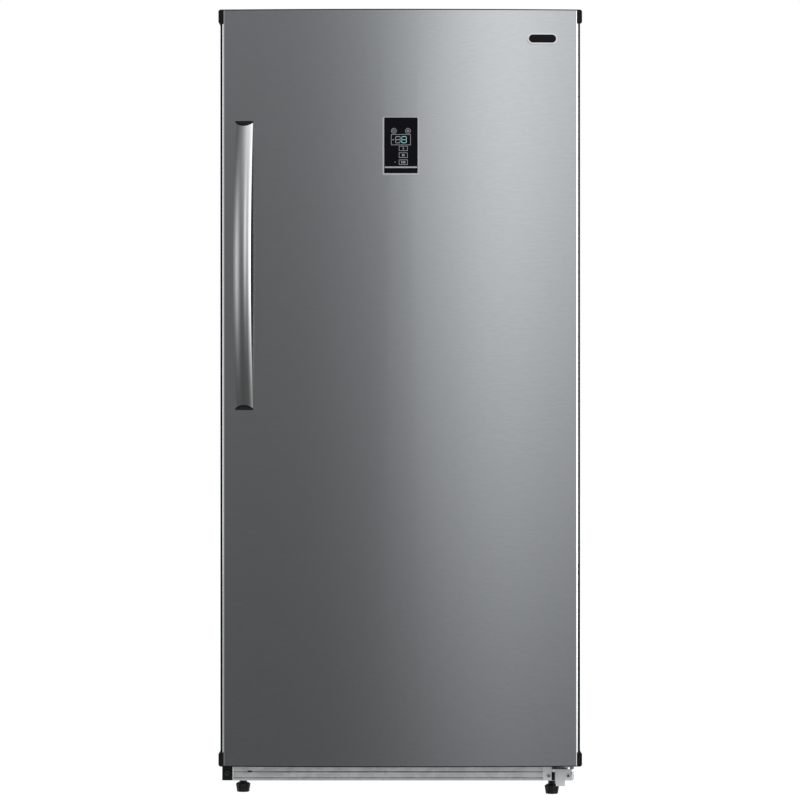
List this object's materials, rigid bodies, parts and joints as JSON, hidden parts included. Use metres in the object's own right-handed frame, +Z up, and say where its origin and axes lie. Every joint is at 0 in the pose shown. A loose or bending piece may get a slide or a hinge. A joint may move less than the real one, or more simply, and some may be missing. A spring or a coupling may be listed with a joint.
{
  "type": "upright freezer",
  "caption": "Tall free-standing freezer with one crowned steel door, bowed handle, touch panel, foamed cabinet, bins, shelves, basket and machine bay.",
  "frame": {"origin": "on the floor under the middle of the whole freezer's outline", "axes": "+X to the right seen from the front, -Y out of the door towards the user, +Z up"},
  "size_m": [0.7172, 0.744, 1.555],
  "materials": {
    "case_paint": "satin",
    "door_steel": "satin",
    "galvanised": "satin",
    "zinc_plate": "satin",
    "screw_steel": "satin",
    "insulation_foam": "matte",
    "white_plastic": "gloss",
    "clear_plastic": "gloss",
    "black_plastic": "matte",
    "grey_plastic": "matte",
    "handle_metal": "gloss",
    "bezel_silver": "gloss",
    "badge_chrome": "polished",
    "panel_glass": "gloss",
    "shelf_glass": "gloss",
    "lens_clear": "gloss",
    "gasket_rubber": "matte",
    "black_rubber": "matte",
    "aluminium_fin": "satin",
    "black_enamel": "satin",
    "copper": "satin",
    "board_green": "satin"
  },
  "bodies": {
    "cabinet": {"outer_case": "case_paint", "rear_panel": "galvanised", "cabinet_foam": "insulation_foam", "inner_liner": "white_plastic", "machine_bay_panel": "galvanised", "base_pan": "galvanised", "front_cross_beam": "galvanised", "corner_block": "black_plastic", "lower_hinge_bracket": "zinc_plate", "top_hinge_plate": "zinc_plate", "top_hinge_cover": "black_plastic", "cabinet_screws": "screw_steel", "rear_spacers": "black_plastic", "evaporator_cover": "white_plastic", "evaporator_coil": "aluminium_fin", "evaporator_fins": "aluminium_fin", "defrost_heater": "aluminium_fin", "fan_motor": "black_enamel", "drain_tube": "grey_plastic", "drip_tray": "grey_plastic", "lamp_housing": "white_plastic", "lamp_lens": "lens_clear", "shelf_glass": "shelf_glass", "shelf_trims": "clear_plastic", "switch_housing": "white_plastic", "compressor": "black_enamel", "compressor_mount_plate": "galvanised", "compressor_grommets": "black_rubber", "refrigerant_pipes": "copper", "condenser_tube": "black_enamel", "machine_cover": "galvanised", "cord_gland": "black_plastic", "control_box": "grey_plastic", "roller_brackets": "zinc_plate"},
    "door": {"door_skin": "door_steel", "side_trims": "black_plastic", "door_top_cap": "black_plastic", "door_bottom_cap": "black_plastic", "door_foam": "insulation_foam", "door_liner": "white_plastic", "door_gasket": "gasket_rubber", "hinge_bushings": "white_plastic", "handle_bar": "handle_metal", "handle_end_caps": "black_plastic", "handle_screws": "screw_steel", "panel_bezel": "bezel_silver", "panel_glass": "panel_glass", "panel_board": "board_green", "badge_rim": "badge_chrome"},
    "basket": {"basket": "white_plastic"},
    "evaporator_fan": {"evaporator_fan": "grey_plastic"},
    "switch_plunger": {"switch_plunger": "white_plastic"},
    "foot_left": {"foot_left": "black_plastic"},
    "foot_right": {"foot_right": "black_plastic"},
    "roller_left": {"roller_left": "black_plastic"},
    "roller_right": {"roller_right": "black_plastic"},
    "bin_1": {"door_bin_1": "clear_plastic"},
    "bin_2": {"door_bin_2": "clear_plastic"},
    "bin_3": {"door_bin_3": "clear_plastic"},
    "bin_4": {"door_bin_4": "clear_plastic"}
  },
  "joints": [
    {"name": "door_swing", "type": "hinge", "parent": "cabinet", "child": "door", "pos_m": [0.331, -0.295, 0.8], "axis": [0, 0, 1], "range_deg": [0, 115]},
    {"name": "basket_slide", "type": "slide", "parent": "cabinet", "child": "basket", "axis": [0, -1, 0], "range_m": [0, 0.162]},
    {"name": "switch_travel", "type": "slide", "parent": "cabinet", "child": "switch_plunger", "axis": [0, -1, 0], "range_m": [0, 0.0061]},
    {"name": "fan_spin", "type": "hinge", "parent": "cabinet", "child": "evaporator_fan", "pos_m": [0, 0.24, 0.742], "axis": [0, 1, 0], "continuous": true},
    {"name": "foot_left_turn", "type": "hinge", "parent": "cabinet", "child": "foot_left", "pos_m": [-0.315, -0.209, 0.01], "axis": [0, 0, 1], "continuous": true},
    {"name": "foot_right_turn", "type": "hinge", "parent": "cabinet", "child": "foot_right", "pos_m": [0.3025, -0.243, 0.01], "axis": [0, 0, 1], "continuous": true},
    {"name": "roller_left_spin", "type": "hinge", "parent": "cabinet", "child": "roller_left", "pos_m": [-0.318, 0.318, 0.013], "axis": [1, 0, 0], "continuous": true},
    {"name": "roller_right_spin", "type": "hinge", "parent": "cabinet", "child": "roller_right", "pos_m": [0.318, 0.318, 0.013], "axis": [1, 0, 0], "continuous": true},
    {"name": "bin_1_lift", "type": "slide", "parent": "door", "child": "bin_1", "axis": [0, 0, 1], "range_m": [0, 0.03]},
    {"name": "bin_2_lift", "type": "slide", "parent": "door", "child": "bin_2", "axis": [0, 0, 1], "range_m": [0, 0.03]},
    {"name": "bin_3_lift", "type": "slide", "parent": "door", "child": "bin_3", "axis": [0, 0, 1], "range_m": [0, 0.03]},
    {"name": "bin_4_lift", "type": "slide", "parent": "door", "child": "bin_4", "axis": [0, 0, 1], "range_m": [0, 0.03]}
  ],
  "couplings": [
    {"joint": "basket_slide", "follows": "door_swing", "m_per_rad": 0.08},
    {"joint": "switch_travel", "follows": "door_swing", "m_per_rad": 0.003}
  ]
}
